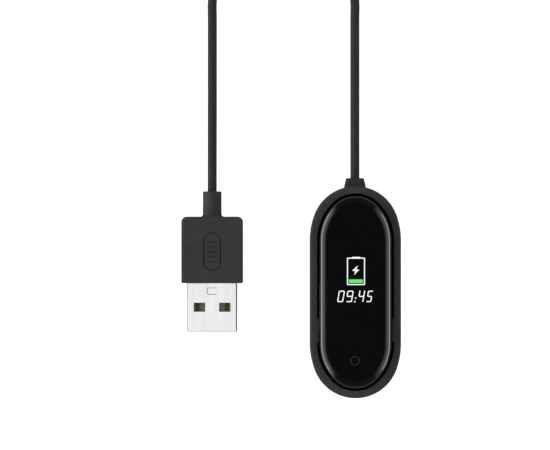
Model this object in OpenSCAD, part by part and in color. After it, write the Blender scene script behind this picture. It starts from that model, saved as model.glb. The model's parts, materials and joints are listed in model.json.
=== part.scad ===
// Fitness tracker seated in its charging cradle, with the cradle's lead and A-type plug.
// Millimetres. +Z is up, +Y points from the cradle towards its lead, and the origin is the
// centre of the cradle's flat underside.

/* [Tracker] */
// Width of the tracker across its straight sides
tracker_w = 17.2; // [14.3:0.1:20.7]
// Length of the tracker, tip to tip
tracker_l = 46.2; // [42:0.1:55.5]
// Thickness of the tracker, flat back to top of lens
tracker_t = 12; // [10:0.1:14.4]
// Wall of the tracker's housing
housing_wall = 1.3; // [1:0.01:1.56]
// Depth of the groove that a wristband grips
groove_d = 0.45; // [0.3:0.01:0.54]
// Height of the wristband groove
groove_h = 1.4; // [1.1:0.01:1.7]
// Diameter of the optical sensor's window
sensor_d = 8.4; // [7:0.1:10.1]
// How far that window stands out of the tracker's back
sensor_proud = 0.6; // [0.4:0.01:0.72]

/* [Lens and display] */
// Width of the curved edge of the lens, seen from above
lens_edge = 1.56; // [1.3:0.01:1.88]
// Thickness of the lens over the display
lens_t = 0.85; // [0.7:0.01:1.02]
// Width of the display's lit area
display_w = 10.8; // [9:0.1:11.6]
// Length of the display's lit area
display_l = 21.6; // [18:0.1:26]

/* [Cradle] */
// Clearance between the tracker and the pocket's wall
pocket_gap = 0.5; // [0.4:0.01:0.6]
// Thickness of the rim around the pocket
rim_wall = 1.8; // [1.5:0.01:2.2]
// How far the top of the lens stands above the rim
lens_proud = 2; // [1.6:0.1:2.4]
// Thickness of the pocket's floor
floor_t = 1.2; // [1:0.01:1.44]
// Length of each side nub that holds the tracker
nub_l = 6.1; // [5:0.1:7.4]
// Width of the push-out window through the cradle
window_w = 10.4; // [10.2:0.1:12.5]
// Length of the push-out window
window_l = 19; // [15.8:0.1:22.8]

/* [Spring contacts] */
// Distance between the two spring contacts
pogo_pitch = 7; // [5.8:0.1:8.4]
// Outer diameter of a contact's barrel
barrel_d = 2; // [1.8:0.01:2.4]
// Diameter of a plunger's tip
tip_d = 1; // [0.8:0.01:1.2]
// Travel of a plunger
pogo_travel = 0.6; // [0.5:0.01:0.72]

/* [Lead and plug] */
// Diameter of the lead
cord_d = 2.2; // [1.8:0.1:2.4]
// Width of the plug's moulded body
plug_w = 14.8; // [13.6:0.1:17.8]
// Length of the plug's moulded body
plug_l = 16; // [14:0.1:19.2]
// Thickness of the plug's moulded body
plug_t = 7.6; // [6.3:0.1:9.2]
// Diameter of the neck where the lead enters the plug
neck_d = 4.5; // [3.7:0.1:5.4]
// Length of that neck
neck_l = 6.1; // [5:0.1:7.4]
// Width of the plug's metal shell
plug_shell_w = 12; // [11.8:0.05:12.2]
// Height of the plug's metal shell
plug_shell_h = 4.5; // [4.4:0.05:4.6]
// Length of shell that stands out of the moulding
plug_shell_out = 11.7; // [10.5:0.1:14]

/* [Hidden] */
$fn = 64;

// ---- Fits ----
fit = 0.05;        // radial clearance of a running fit
glue_gap = 0.1;    // gap between parts that are glued or laid together
seat_gap = 0.02;   // gap under a part that rests on another, and round one moulded in
eps = 0.01;        // overrun of a cut

// ---- The oval that the tracker and the cradle share ----
// Each end is a tip arc between two side arcs. The end is end_stretch longer than a half circle,
// and its tip arc is tip_tighten smaller in radius than the half width. An outline that is
// grown outwards keeps the same arc centres.
end_stretch = 2.1;
tip_tighten = 1.5;
shell_tip_tighten = 0.45;                    // the same for the cradle's fuller outline
side_shift = side_shift_for(tip_tighten);
tip_shift = end_stretch + tip_tighten;
meet_angle = atan2(tip_shift, side_shift);   // where a side arc meets the tip arc
straight_l = tracker_l - tracker_w - 2 * end_stretch;
arc_steps = 8;                               // facets along each arc of a rounded shell

// How far a side arc's centre lies beyond the middle, for an oval's tip_tighten.
function side_shift_for(tighten) = end_stretch + end_stretch * end_stretch / (2 * tighten);

// Half the oval's width at y, along the straight or on a side arc, grown outwards by grow.
function half_width_at(y, grow) =
    let (h = tracker_w / 2 + grow, past = max(0, abs(y) - straight_l / 2))
    sqrt(pow(h + side_shift, 2) - past * past) - side_shift;

// ---- Cradle ----
cover_t = 1;                                 // bottom cover
cavity_h = 2;                                // space for the board, between cover and floor
cavity_z = cover_t + cavity_h;               // underside of the pocket's floor
floor_z = cavity_z + floor_t;                // top of the pocket's floor
tracker_z = floor_z + seat_gap;              // tracker's back
tracker_top = tracker_z + tracker_t;
rim_z = tracker_top - lens_proud;
shell_grow = pocket_gap + rim_wall;          // cradle outline, beyond the tracker's
rim_edge_r = 0.45;                           // rounding of the rim's outer edge
foot_edge_r = 0.8;                           // rounding of the lower edge
cover_inset = 0.9;                           // shell left outside the cover
cover_ledge = 0.6;                           // step that the cover sits against
cover_grow = shell_grow - cover_inset;
cavity_grow = cover_grow - cover_ledge;
cradle_tip = tracker_l / 2 + shell_grow;
nub_y = -9.15;
nub_gap = 0.1;                               // between a nub and the tracker
nub_h = 5;
window_y = -3;                               // centre of the push-out window and the sensor
window_collar = 0.9;                         // wall round the window inside the base

// ---- Strain relief ----
relief_z = 2.7;                              // height of the lead where it leaves the cradle
relief_out = 2;                              // length outside the cradle
relief_base = [5.2, 3.2];                    // width and height at the cradle
relief_tip = [4.3, 2.9];                     // width and height at the lead
relief_round = 0.7;
relief_sunk = 0.9;                           // base let into the curved tip of the cradle
relief_neck = [3.6, 1.6];                    // width and height through the cradle's wall
relief_flange = [5.4, 1.8];                  // width and height of the flange inside
relief_flange_l = 1.2;
relief_flange_y = cradle_tip - 2.15;         // outer face of that flange
relief_flange_z = cover_t + cavity_h / 2;

// ---- Board and spring contacts ----
pogo_y = tracker_l / 2 - 8.1;
pogo_x = pogo_pitch / 2;
board_z = 1.4;
board_t = 0.8;
board_l = 8.6;
board_y = pogo_y + 0.6;
board_edge_gap = 0.5;                        // from the board's far corners to the cavity's wall
board_w = 2 * (half_width_at(board_y + board_l / 2, cavity_grow) - board_edge_gap);
boss_d = 3;
peg_d = 1.4;
boss_x = board_w / 2 - 1.6;
boss_dy = 2.8;                               // from the board's centre
barrel_z = 1.2;                              // bottom of a barrel
barrel_top = floor_z - 0.1;
barrel_base = 0.4;                           // closed bottom of a barrel
barrel_lip = 0.2;                            // turned-in top edge that stops the plunger
barrel_bore_d = tip_d + 0.4;
barrel_flange = 0.35;                        // solder flange's width and height
pad_recess = 0.3;                            // the pads sit this deep in the tracker's back
tip_z = tracker_z + pad_recess - seat_gap;   // top of a plunger
tip_round = 0.2;
piston_h = 0.7;
piston_top = barrel_top - barrel_lip - seat_gap;
spring_wire = 0.12;
spring_turns = 5;
spring_d = barrel_bore_d - 3 * spring_wire;  // mean diameter
wire_d = 0.5;                                // insulated cores of the lead
wire_x = [-1.2, -0.4, 0.4, 1.2];

// ---- Tracker, heights from its back ----
back_round = [2.6, 3.2];                     // width and height of the rounding round the back
groove_z = 5.1;
groove_slope = 0.35;
housing_floor = 1.1;
gasket_t = 0.15;
gasket_inset = 0.15;
shoulder_from = 12;                          // tilt of the lens edge where it leaves the flat
shoulder_to = 52;                            // tilt at the lens's outer edge
shoulder_r = lens_edge / (sin(shoulder_to) - sin(shoulder_from));
shoulder_h = shoulder_r * (cos(shoulder_from) - cos(shoulder_to));
lens_skirt = 1;                              // upright edge below the shoulder
lens_z = tracker_t - shoulder_h - lens_skirt;
lens_wall = 1.9;                             // rim of the lens round the display's recess
housing_h = lens_z - gasket_t;
inner_half = tracker_w / 2 - housing_wall;
display_t = 1;
display_z = tracker_t - lens_t - glue_gap - display_t;
display_margin = 0.9;                        // panel beyond its lit area
display_y = 2.65;                            // centre of the lit area
panel_size = [display_w + 2 * display_margin, display_l + 2 * display_margin];
panel_end = display_y - panel_size.y / 2;
flex_t = 0.12;
flex_w = 6;
flex_reach = 1.1;
touch_d = 4.6;
touch_t = 0.3;
touch_y = 6.7 - tracker_l / 2;
chip_h = 0.8;
main_board_t = 0.8;
main_board_z = display_z - glue_gap - chip_h - main_board_t;
board_inset = 0.4;                           // main board inside the housing's wall
frame_t = 0.6;
frame_z = main_board_z - glue_gap - frame_t;
frame_inset = 0.2;
rib_w = 1;                                   // ribs on the housing's wall that carry the frame
rib_l = 2;
rib_y = 9;
flex_slot = [6, 1.6];
sensor_board = [11, 12];
sensor_board_t = 0.6;
sensor_board_z = housing_floor + 0.2;
sensor_part_h = 0.35;
window_flange = 0.8;                         // flange that glues the window in from inside
window_flange_z = 0.5;
window_flange_t = 0.4;
battery_gap = 0.2;
battery_z = sensor_board_z + sensor_board_t + battery_gap;
battery_t = frame_z - glue_gap - battery_z;
battery_w = 2 * (inner_half - rib_w - battery_gap);
battery_l = tracker_l - 24.2;
battery_corner = 1;
battery_board_inset = 1.2;                   // below the battery's top and above its underside
battery_board_size = [8, 0.8, battery_t - 2 * battery_board_inset];
pad_d = 2.4;                                 // gold charging pads
pad_flange_d = 3.2;
pad_flange_t = 0.2;
antenna_size = [6, 1.4, 0.6];
antenna_y = tracker_l / 2 - 4.3;

// ---- Vibration motor ----
motor_y = 7.5 - tracker_l / 2;
motor_d = 7.6;
motor_sheet = 0.25;
motor_h = 2.4;
motor_z = housing_floor + glue_gap;
shaft_d = 0.8;
rotor_gap = 0.2;
rotor_hub_d = 2.2;

// ---- Plug ----
plug_x = -34.4;
plug_back = 18.1;                            // cable end of the moulding
plug_mid = plug_t / 2;                       // height of the plug's axis
plug_front = plug_back - plug_l;
plug_edge_r = 0.6;
plug_corner_back = 1.3;
plug_corner_front = 0.6;
shell_sheet = 0.3;
shell_corner = 0.6;
shell_in = 7;                                // length of shell inside the moulding
plug_tip = plug_front - plug_shell_out;
shell_back = plug_front + shell_in;
latch_window = [2.75, 2.2];
latch_window_x = 3.05;
latch_window_y = plug_tip + 5.9;
lance = [2.15, 1.55];                        // stamped U in the shell's upper face
lance_slot = 0.3;
lance_y = plug_front - 1.9;
seam = 0.1;                                  // where the shell's rolled sheet meets itself
tongue_t = 1.9;
tongue_back = 0.6;                           // tongue's end, behind the shell's open end
tongue_z = plug_mid - plug_shell_h / 2 + shell_sheet + seat_gap;
insulator_block = 3.6;
contact_w = 1;
contact_t = 0.25;
contact_x = [-3.5, -1, 1, 3.5];
contact_back = [0.6, 1.6, 1.6, 0.6];         // contact's end, behind the tongue's end
contact_proud = 0.1;
contact_z = tongue_z + tongue_t + contact_proud - contact_t;
contact_tail = 1.5;
contact_end = shell_back + contact_tail;
inner_mould = [10.4, 3.4, 3.7];
wire_room = [8.6, 3.6, 2.4];                 // hollow behind the inner mould for the cores
wire_room_y = shell_back + inner_mould.y;
core_bore = 1.7;
core_pitch = 0.7;
mark_line = 0.18;                            // engraved grip mark on the plug
mark_depth = 0.15;
mark_size = [4.3, 9.3];
mark_y = plug_back - 8.45;
mark_bars = 5;
mark_bar_w = 2;
mark_bar_pitch = 1.2;

// ---- Lead ----
// The lead comes straight out of the cradle and of the plug, drops to the table, and is wound
// into a tied coil of two and a half turns between its two runs, its turns on top of each other.
cord_r = cord_d / 2;
cord_sides = 8;
cord_lay = 2.3;                              // height between neighbouring turns
coil_centre = [-17.2, 85.2];
coil_r = 11.4;
coil_low = 1.6;                              // centre height of the lowest turn
coil_layers = 3;
coil_top = coil_low + (coil_layers - 1) * cord_lay;
cradle_run = [
    [0, 27.4, 2.7], [0, 30, 2.7], [0, 34, 2.4], [0, 38, 1.9], [0, 42, 1.4], [0, 46, 1.2],
    [0, 51, 1.2], [0, 56, 1.2], [0, 61, 1.2], [0, 66, 1.3], [0, 70, 1.8], [-0.6, 73, 2.7],
    [-2, 76, 3.8], [-3.7, 79, 5], [-5.1, 82, 5.9], [-5.8, 85.2, 6.2]
];
plug_run = [
    [-34.4, 24.2, 3.8], [-34.4, 27, 3.8], [-34.4, 31, 3.4], [-34.4, 35, 2.6], [-34.4, 39, 1.8],
    [-34.4, 43, 1.3], [-34.4, 47, 1.2], [-34.4, 52, 1.2], [-34.4, 57, 1.2], [-34.4, 62, 1.2],
    [-34.4, 66, 1.2], [-34.4, 70, 1.2], [-33.8, 73, 1.2], [-32.4, 76, 1.3], [-30.7, 79, 1.4],
    [-29.3, 82, 1.5], [-28.6, 85.2, 1.6]
];
tie_angle = 25;
tie_t = 0.4;
tie_gap = 0.05;

// ---- Colours ----
matt_black = [0.21, 0.21, 0.21];
satin_black = [0.12, 0.12, 0.12];
gloss_black = [0.04, 0.045, 0.05];
cord_black = [0.19, 0.19, 0.19];
steel = [0.85, 0.85, 0.86];
gold = [0.83, 0.66, 0.32];
green_board = [0.05, 0.3, 0.14];
dark_chip = [0.1, 0.1, 0.11];
white_plastic = [0.9, 0.9, 0.88];
dark_plastic = [0.25, 0.25, 0.26];
copper_flex = [0.75, 0.42, 0.16];

// ======== Shared shapes ========

// Points round the oval, grown outwards by grow, from its right side and round by the far end.
function oval_points(grow, tighten) =
    let (
        h = tracker_w / 2 + grow,
        side_x = side_shift_for(tighten),
        tip_y = end_stretch + tighten,
        meet = atan2(tip_y, side_x),
        side = [for (i = [0 : arc_steps]) let (a = meet * i / arc_steps)
            (h + side_x) * [cos(a), sin(a)] + [-side_x, straight_l / 2]],
        tip = [for (i = [1 : arc_steps]) let (a = meet + (90 - meet) * i / arc_steps)
            (h - tighten) * [cos(a), sin(a)] + [0, straight_l / 2 + tip_y]],
        right = concat(side, tip),
        left = [for (i = [len(right) - 2 : -1 : 0]) [-right[i].x, right[i].y]],
        far = concat(right, left)
    )
    concat(far, [for (i = [len(far) - 1 : -1 : 0]) [far[i].x, -far[i].y]]);

// The same oval as a flat shape with true arcs.
module oval(grow) {
    h = tracker_w / 2 + grow;
    chord_y = (h + side_shift) * sin(meet_angle);
    square([2 * h, straight_l], center = true);
    for (m = [0, 1]) mirror([0, m, 0]) translate([0, straight_l / 2]) {
        intersection() {
            translate([-side_shift, 0]) circle(h + side_shift);
            translate([side_shift, 0]) circle(h + side_shift);
            translate([-h, -eps]) square([2 * h, chord_y + eps]);
        }
        intersection() {
            translate([0, tip_shift]) circle(h - tip_tighten);
            translate([-h, chord_y]) square([2 * h, 2 * h]);
        }
    }
}

module oval_prism(z0, z1, grow) {
    translate([0, 0, z0]) linear_extrude(z1 - z0) oval(grow);
}

// Points round a rectangle of size w by h with rounded corners, centred on zero.
function rounded_points(w, h, r) =
    [for (corner = [[1, 1, 0], [-1, 1, 90], [-1, -1, 180], [1, -1, 270]]) for (a = [0 : 15 : 90])
        [corner.x * (w / 2 - r), corner.y * (h / 2 - r)]
            + r * [cos(corner.z + a), sin(corner.z + a)]];

// Points round a plate from y0 to y1, with its own radius at the front (y0) and back corners.
function plate_points(w, y0, y1, front, back) =
    [for (corner = [[1, y1, -1, back, 0], [-1, y1, -1, back, 90],
                    [-1, y0, 1, front, 180], [1, y0, 1, front, 270]])
        for (a = [0 : 15 : 90])
            [corner[0] * (w / 2 - corner[3]), corner[1] + corner[2] * corner[3]]
                + corner[3] * [cos(corner[4] + a), sin(corner[4] + a)]];

function at_height(points, z) = [for (p = points) [p.x, p.y, z]];
function at_depth(points, y, z) = [for (p = points) [-p.x, y, p.y + z]];

// Layers [height, grow] of an elliptic rounding, w wide and h high, under and over an edge.
function lower_edge(z, grow, w, h) =
    [for (a = [0 : 18 : 90]) [z + h * (1 - cos(a)), grow - w * (1 - sin(a))]];
function upper_edge(z, grow, w, h) =
    [for (a = [90 : -18 : 0]) [z - h * (1 - cos(a)), grow - w * (1 - sin(a))]];

// A closed solid through rings that all have the same number of points, flat at each end.
module loft(rings) {
    n = len(rings[0]);
    last = len(rings) - 1;
    polyhedron(
        points = [for (r = rings) for (p = r) p],
        faces = concat(
            [[for (i = [0 : n - 1]) i]],
            [[for (i = [n - 1 : -1 : 0]) last * n + i]],
            [for (k = [0 : last - 1]) for (i = [0 : n - 1])
                [k * n + i, (k + 1) * n + i, (k + 1) * n + (i + 1) % n]],
            [for (k = [0 : last - 1]) for (i = [0 : n - 1])
                [k * n + i, (k + 1) * n + (i + 1) % n, k * n + (i + 1) % n]]
        )
    );
}

// A solid whose outline is the oval, grown at each height as layers of [height, grow] say.
module oval_stack(layers, tighten = tip_tighten) {
    loft([for (l = layers) at_height(oval_points(l[1], tighten), l[0])]);
}

// Rings of a round tube of radius r along a route, square to the route at each point.
function tube_rings(route, r, sides) =
    [for (i = [0 : len(route) - 1])
        let (
            along = route[min(i + 1, len(route) - 1)] - route[max(i - 1, 0)],
            t = along / norm(along),
            u = cross([0, 0, 1], t) / norm(cross([0, 0, 1], t)),
            v = cross(t, u)
        )
        [for (k = [0 : sides - 1]) let (a = 360 * k / sides)
            route[i] + r * (cos(a) * u + sin(a) * v)]];

module rounded_square(w, h, r) {
    square([w - 2 * r, h], center = true);
    square([w, h - 2 * r], center = true);
    for (x = [-1, 1], y = [-1, 1])
        translate([x * (w / 2 - r), y * (h / 2 - r)]) circle(r);
}

module stadium(w, l) {
    square([w, l - w], center = true);
    for (y = [-1, 1]) translate([0, y * (l - w) / 2]) circle(w / 2);
}

// A box centred on x and y of its place, standing on its z.
module box(size, at) {
    translate(at - [size.x / 2, size.y / 2, 0]) cube(size);
}

// A flat shape in x and height, extruded along +Y from y0 to y1.
module along_y(y0, y1) {
    translate([0, y1, 0]) rotate([90, 0, 0]) linear_extrude(y1 - y0) children();
}

// ======== Cradle ========

module cradle_shell() {
    color(matt_black) difference() {
        union() {
            difference() {
                oval_stack(concat(
                    lower_edge(0, shell_grow, foot_edge_r, foot_edge_r),
                    upper_edge(rim_z, shell_grow, rim_edge_r, rim_edge_r)
                ), shell_tip_tighten);
                oval_prism(floor_z, rim_z + eps, pocket_gap);
                oval_prism(cover_t - eps, cavity_z, cavity_grow);
                oval_prism(-eps, cover_t, cover_grow);
            }
            translate([0, window_y, cover_t]) linear_extrude(cavity_h + eps)
                stadium(window_w + 2 * window_collar, window_l + 2 * window_collar);
            side_nubs();
        }
        translate([0, window_y, 0]) linear_extrude(rim_z) stadium(window_w, window_l);
        for (x = [-pogo_x, pogo_x])
            translate([x, pogo_y, cover_t]) cylinder(d = barrel_d + 2 * fit, h = floor_z);
        relief_recess();
    }
}

// Upright ribs inside the rim, a hair clear of the tracker's straight sides.
module side_nubs() {
    inner = tracker_w / 2 + nub_gap;
    outer = tracker_w / 2 + pocket_gap + rim_wall / 2;
    for (side = [-1, 1])
        box([outer - inner, nub_l, nub_h], [side * (inner + outer) / 2, nub_y, rim_z - nub_h]);
}

module relief_recess() {
    base_y = cradle_tip - relief_sunk;
    along_y(base_y, cradle_tip + eps) translate([0, relief_z])
        square([relief_base.x + 2 * fit, relief_base.y + 2 * fit], center = true);
    along_y(relief_flange_y - relief_flange_l, base_y + eps) translate([0, relief_flange_z])
        square([relief_neck.x + 2 * fit, relief_neck.y + 2 * fit], center = true);
}

module cradle_cover() {
    color(matt_black) {
        difference() {
            oval_prism(0, cover_t - seat_gap, cover_grow - fit);
            translate([0, window_y, -eps]) linear_extrude(cover_t + 2 * eps)
                stadium(window_w, window_l);
        }
        for (x = [-boss_x, boss_x], y = [-boss_dy, boss_dy])
            translate([x, board_y + y, cover_t / 2]) {
                cylinder(d = boss_d, h = board_z - seat_gap - cover_t / 2);
                cylinder(d = peg_d, h = board_z + board_t + 0.2 - cover_t / 2);
            }
    }
}

module strain_relief() {
    base_y = cradle_tip - relief_sunk;
    color(satin_black) {
        loft([
            at_depth(rounded_points(relief_base.x, relief_base.y, relief_round), base_y, relief_z),
            at_depth(rounded_points(relief_base.x, relief_base.y, relief_round), cradle_tip,
                relief_z),
            at_depth(rounded_points(relief_tip.x, relief_tip.y, relief_round),
                cradle_tip + relief_out, relief_z)
        ]);
        along_y(relief_flange_y - eps, base_y + eps) translate([0, relief_flange_z])
            square(relief_neck, center = true);
        along_y(relief_flange_y - relief_flange_l, relief_flange_y)
            translate([0, relief_flange_z]) square(relief_flange, center = true);
    }
}

module dock_board() {
    color(green_board) difference() {
        box([board_w, board_l, board_t], [0, board_y, board_z]);
        for (x = [-pogo_x, pogo_x])
            translate([x, pogo_y, 0]) cylinder(d = barrel_d + 2 * fit, h = cavity_z);
        for (x = [-boss_x, boss_x], y = [-boss_dy, boss_dy])
            translate([x, board_y + y, 0]) cylinder(d = peg_d + 2 * fit, h = cavity_z);
    }
}

module dock_components() {
    top = board_z + board_t + seat_gap;
    color(dark_chip) {
        box([1.6, 0.8, 0.5], [0, board_y - 2.4, top]);
        box([1.4, 1.4, 0.55], [0, board_y - 0.4, top]);
        box([1, 0.5, 0.35], [0, board_y + 1.2, top]);
    }
}

module dock_wires() {
    start = relief_flange_y - relief_flange_l;
    low = board_z + board_t + wire_d / 2 + glue_gap;
    color(copper_flex) for (x = wire_x)
        loft(tube_rings([
            [x, board_y + 2.4, low], [x, board_y + 3.2, low], [x, board_y + 4, low],
            [x, board_y + 4.9, (low + relief_flange_z) / 2], [x, start - 0.6, relief_flange_z],
            [x, start, relief_flange_z]
        ], wire_d / 2, cord_sides));
}

module pogo_barrels() {
    r = barrel_d / 2;
    bore = barrel_bore_d / 2;
    flange_z = board_z + board_t + seat_gap;
    color(gold) for (x = [-pogo_x, pogo_x])
        translate([x, pogo_y, 0]) rotate_extrude() polygon([
            [0, barrel_z], [r, barrel_z], [r, flange_z], [r + barrel_flange, flange_z],
            [r + barrel_flange, flange_z + barrel_flange], [r, flange_z + barrel_flange],
            [r, barrel_top], [tip_d / 2 + fit, barrel_top],
            [tip_d / 2 + fit, barrel_top - barrel_lip], [bore, barrel_top - barrel_lip],
            [bore, barrel_z + barrel_base], [0, barrel_z + barrel_base]
        ]);
}

module pogo_pin(x) {
    piston_r = barrel_bore_d / 2 - fit;
    tip_r = tip_d / 2;
    color(gold) translate([x, pogo_y, 0]) rotate_extrude() polygon([
        [0, piston_top - piston_h], [piston_r, piston_top - piston_h], [piston_r, piston_top],
        [tip_r, piston_top], [tip_r, tip_z - tip_round], [tip_r - tip_round, tip_z], [0, tip_z]
    ]);
}

module pogo_pin_left() {
    pogo_pin(-pogo_x);
}

module pogo_pin_right() {
    pogo_pin(pogo_x);
}

module pogo_spring(x) {
    low = barrel_z + barrel_base + spring_wire / 2 + seat_gap;
    high = piston_top - piston_h - spring_wire / 2 - seat_gap;
    steps = 10 * spring_turns;
    color(steel) translate([x, pogo_y, 0])
        loft(tube_rings([for (i = [0 : steps]) let (a = 360 * spring_turns * i / steps)
            [spring_d / 2 * cos(a), spring_d / 2 * sin(a), low + (high - low) * i / steps]
        ], spring_wire / 2, 6));
}

module pogo_spring_left() {
    pogo_spring(-pogo_x);
}

module pogo_spring_right() {
    pogo_spring(pogo_x);
}

// ======== Tracker ========

module in_tracker() {
    translate([0, 0, tracker_z]) children();
}

module tracker_housing() {
    color(satin_black) in_tracker() {
        difference() {
            oval_stack(concat(lower_edge(0, 0, back_round.x, back_round.y), [
                [groove_z, 0], [groove_z + groove_slope, -groove_d],
                [groove_z + groove_h - groove_slope, -groove_d], [groove_z + groove_h, 0],
                [housing_h, 0]
            ]));
            oval_prism(housing_floor, housing_h + eps, -housing_wall);
            translate([0, window_y, -eps]) cylinder(d = sensor_d + 2 * seat_gap, h = tracker_t);
            translate([0, window_y, window_flange_z])
                cylinder(d = sensor_d + 2 * (window_flange + fit), h = tracker_t);
            for (x = [-pogo_x, pogo_x])
                translate([x, pogo_y, -eps]) cylinder(d = pad_d + 2 * seat_gap, h = tracker_t);
        }
        for (side = [-1, 1], y = [-rib_y, rib_y])
            box([rib_w + housing_wall / 2, rib_l, frame_z - seat_gap - housing_floor / 2],
                [side * (inner_half + (housing_wall / 2 - rib_w) / 2), y, housing_floor / 2]);
    }
}

module lens_gasket() {
    color(dark_chip) in_tracker() translate([0, 0, housing_h]) linear_extrude(gasket_t)
        difference() {
            oval(-gasket_inset);
            oval(gasket_inset - housing_wall);
        }
}

module cover_lens() {
    steps = 7;
    color(gloss_black) in_tracker() difference() {
        oval_stack(concat([[lens_z, 0]], [for (i = [0 : steps])
            let (tilt = shoulder_to + (shoulder_from - shoulder_to) * i / steps)
            [tracker_t - shoulder_r * (cos(shoulder_from) - cos(tilt)),
                -shoulder_r * (sin(shoulder_to) - sin(tilt))]]));
        oval_prism(lens_z - eps, tracker_t - lens_t, -lens_wall);
    }
}

module display_panel() {
    color(dark_chip) in_tracker() translate([0, display_y, display_z])
        linear_extrude(display_t) rounded_square(panel_size.x, panel_size.y, 1);
}

// The display's flexible lead, folded from the panel's end down onto the main board.
module display_flex() {
    top = display_z + display_t / 2;
    low = main_board_z + main_board_t + seat_gap;
    fold = panel_end - flex_reach;
    color(copper_flex) in_tracker() {
        box([flex_w, flex_reach, flex_t], [0, panel_end - flex_reach / 2, top - flex_t]);
        box([flex_w, flex_t, top - low], [0, fold + flex_t / 2, low]);
        box([flex_w, 2 * flex_reach, flex_t], [0, fold + flex_reach, low]);
    }
}

module touch_sensor() {
    color(copper_flex) in_tracker() translate([0, touch_y, tracker_t - lens_t - glue_gap - touch_t])
        cylinder(d = touch_d, h = touch_t);
}

module inner_frame() {
    color(satin_black) in_tracker() translate([0, 0, frame_z]) linear_extrude(frame_t)
        difference() {
            oval(-housing_wall - frame_inset);
            translate([0, battery_l / 2 + 1.5]) square(flex_slot, center = true);
            translate([0, motor_y]) circle(d = 3);
        }
}

module main_board() {
    color(green_board) in_tracker() translate([0, 0, main_board_z]) linear_extrude(main_board_t)
        difference() {
            oval(-housing_wall - board_inset);
            for (side = [-1, 1]) translate([side * inner_half, 0]) square([2, 5], center = true);
        }
}

module board_chips() {
    z = main_board_z + main_board_t + seat_gap;
    color(dark_chip) in_tracker() {
        box([5, 5, chip_h - seat_gap], [-2.2, 8.5, z]);
        box([3.4, 3.4, chip_h - seat_gap], [3, 7.6, z]);
        box([4.4, 3.2, chip_h - seat_gap], [-2, 2.6, z]);
        box([2.4, 2.4, 0.7], [3.2, 2.8, z]);
        box([2, 1.6, 0.5], [-2.8, -2.4, z]);
        box([3.2, 1.5, 0.5], [2.2, -3, z]);
    }
}

module antenna() {
    color(white_plastic) in_tracker()
        box(antenna_size, [0, antenna_y, main_board_z + main_board_t + seat_gap]);
}

module battery() {
    color(steel) in_tracker() translate([0, 0, battery_z]) linear_extrude(battery_t)
        rounded_square(battery_w, battery_l, battery_corner);
}

module battery_board() {
    color(green_board) in_tracker()
        box(battery_board_size, [0, battery_l / 2 + glue_gap + battery_board_size.y / 2,
            battery_z + battery_board_inset]);
}

// The optical sensor's lens, glued in from inside by its flange and rounded outside.
module sensor_window() {
    r = sensor_d / 2;
    flange_r = r + window_flange;
    flange_z = window_flange_z + seat_gap;
    color(gloss_black) in_tracker() translate([0, window_y, 0]) rotate_extrude() polygon([
        [0, -sensor_proud], [r - 1.4, -sensor_proud], [r - 0.6, -sensor_proud * 0.85],
        [r - 0.2, -sensor_proud * 0.5], [r, 0], [r, flange_z], [flange_r, flange_z],
        [flange_r, flange_z + window_flange_t], [0, flange_z + window_flange_t]
    ]);
}

module sensor_board() {
    color(green_board) in_tracker()
        box([sensor_board.x, sensor_board.y, sensor_board_t], [0, window_y, sensor_board_z]);
}

module sensor_leds() {
    color([0.4, 0.9, 0.5]) in_tracker() for (x = [-2.5, 2.5])
        box([1.6, 0.9, sensor_part_h],
            [x, window_y, sensor_board_z - seat_gap - sensor_part_h]);
}

module photodiode() {
    color(dark_chip) in_tracker()
        box([2.4, 2.4, sensor_part_h], [0, window_y, sensor_board_z - seat_gap - sensor_part_h]);
}

module charging_contacts() {
    flange_z = housing_floor + seat_gap;
    color(gold) in_tracker() for (x = [-pogo_x, pogo_x]) translate([x, pogo_y, 0]) {
        translate([0, 0, pad_recess]) cylinder(d = pad_d, h = flange_z - pad_recess + eps);
        translate([0, 0, flange_z]) cylinder(d = pad_flange_d, h = pad_flange_t);
    }
}

// ---- Vibration motor: plate and cap make its case, and the weight turns on the shaft ----

module in_motor() {
    in_tracker() translate([0, motor_y, motor_z]) children();
}

module motor_plate() {
    color(steel) in_motor() cylinder(d = motor_d, h = motor_sheet);
}

module motor_cap() {
    r = motor_d / 2;
    low = motor_sheet + seat_gap;
    color(steel) in_motor() rotate_extrude() polygon([
        [r - motor_sheet, low], [r, low], [r, motor_h], [0, motor_h],
        [0, motor_h - motor_sheet], [r - motor_sheet, motor_h - motor_sheet]
    ]);
}

module motor_shaft() {
    low = motor_sheet + seat_gap;
    color(steel) in_motor() translate([0, 0, low])
        cylinder(d = shaft_d, h = motor_h - motor_sheet - seat_gap - low);
}

// A half disc of heavy metal round a hub.
module motor_rotor() {
    low = motor_sheet + rotor_gap;
    weight_r = motor_d / 2 - motor_sheet - rotor_gap;
    color(gold) in_motor() translate([0, 0, low])
        linear_extrude(motor_h - motor_sheet - rotor_gap - low) difference() {
            union() {
                intersection() {
                    circle(weight_r);
                    translate([-weight_r, 0]) square([2 * weight_r, weight_r]);
                }
                circle(d = rotor_hub_d);
            }
            circle(d = shaft_d + 2 * fit);
        }
}

// ======== Plug ========

module in_plug() {
    translate([plug_x, 0, 0]) children();
}

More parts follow.
